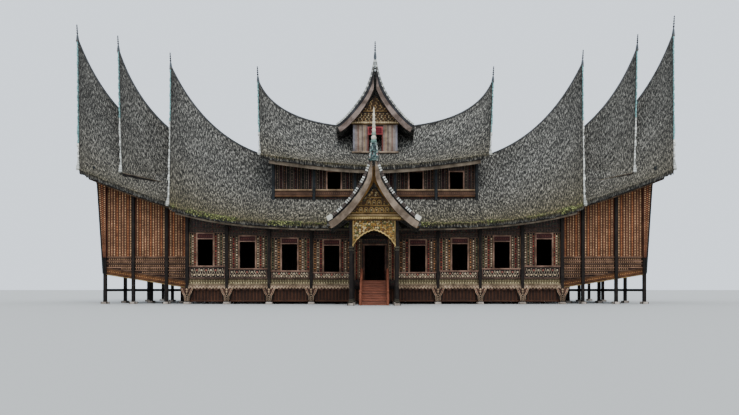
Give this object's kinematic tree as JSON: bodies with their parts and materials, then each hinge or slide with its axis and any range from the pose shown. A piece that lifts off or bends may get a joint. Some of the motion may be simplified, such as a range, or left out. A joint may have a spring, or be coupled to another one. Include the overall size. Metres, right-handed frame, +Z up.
{
  "type": "rumah gadang great house, half-scale model",
  "caption": "Stilted timber great house with horned saddle roofs nested in tiers, raised wings, an upper storey, a top room and a gabled porch with stair, as a half-scale model.",
  "frame": {"origin": "bottom centre of the bounding box, on the ground that the footing stones stand on", "axes": "+X along the ridge to the right as seen from the front, +Y from the entrance to the rear, +Z up"},
  "size_m": [32.6226, 12.2834, 15.6471],
  "materials": {
    "thatch": "weathered palm-fibre thatch, dark grey with pale lichen and green moss at the eaves",
    "panel": "orange-brown boards carved in narrow upright strips with gold dots",
    "carved": "dark red-brown boards with painted and carved bands in cream, gold, green and red",
    "post": "green-black painted posts and beams, satin",
    "screen": "dark red-brown upright slats",
    "board": "worn floor boards",
    "gold": "gilded openwork carving on dark ground",
    "finial": "dull silver sheet metal beads and cones",
    "stair": "red-brown painted treads"
  },
  "bodies": {
    "root": {"left_outer_roof": "thatch", "left_middle_roof": "thatch", "left_inner_roof": "thatch", "left_middle_gable": "panel", "left_inner_gable": "panel", "left_outer_finial": "finial", "left_middle_finial": "finial", "left_inner_finial": "finial", "left_wing_front_wall": "panel", "left_wing_rear_wall": "panel", "left_end_wall": "panel", "left_wing_frame": "post", "right_outer_roof": "thatch", "right_middle_roof": "thatch", "right_inner_roof": "thatch", "right_middle_gable": "panel", "right_inner_gable": "panel", "right_outer_finial": "finial", "right_middle_finial": "finial", "right_inner_finial": "finial", "right_wing_front_wall": "panel", "right_wing_rear_wall": "panel", "right_end_wall": "panel", "right_wing_frame": "post", "front_wall_left": "carved", "front_wall_right": "carved", "entrance_wall": "carved", "rear_wall": "carved", "front_posts": "post", "rear_posts": "post", "front_screen": "screen", "rear_screen": "screen", "front_columns": "post", "rear_columns": "post", "hall_floor": "board", "upper_front_wall": "carved", "upper_rear_wall": "carved", "upper_left_gable": "panel", "upper_left_finial": "finial", "upper_right_gable": "panel", "upper_right_finial": "finial", "upper_floor": "board", "top_room_front_walls": "carved", "top_room_rear_walls": "carved", "upper_roof": "thatch", "top_room_roof": "thatch", "top_room_front_finial": "finial", "top_room_rear_finial": "finial", "front_skirt_roof": "thatch", "rear_skirt_roof": "thatch", "porch_roof": "thatch", "porch_finial": "finial", "porch_gable": "gold", "porch_frame": "post", "porch_stair": "stair"}
  },
  "joints": []
}
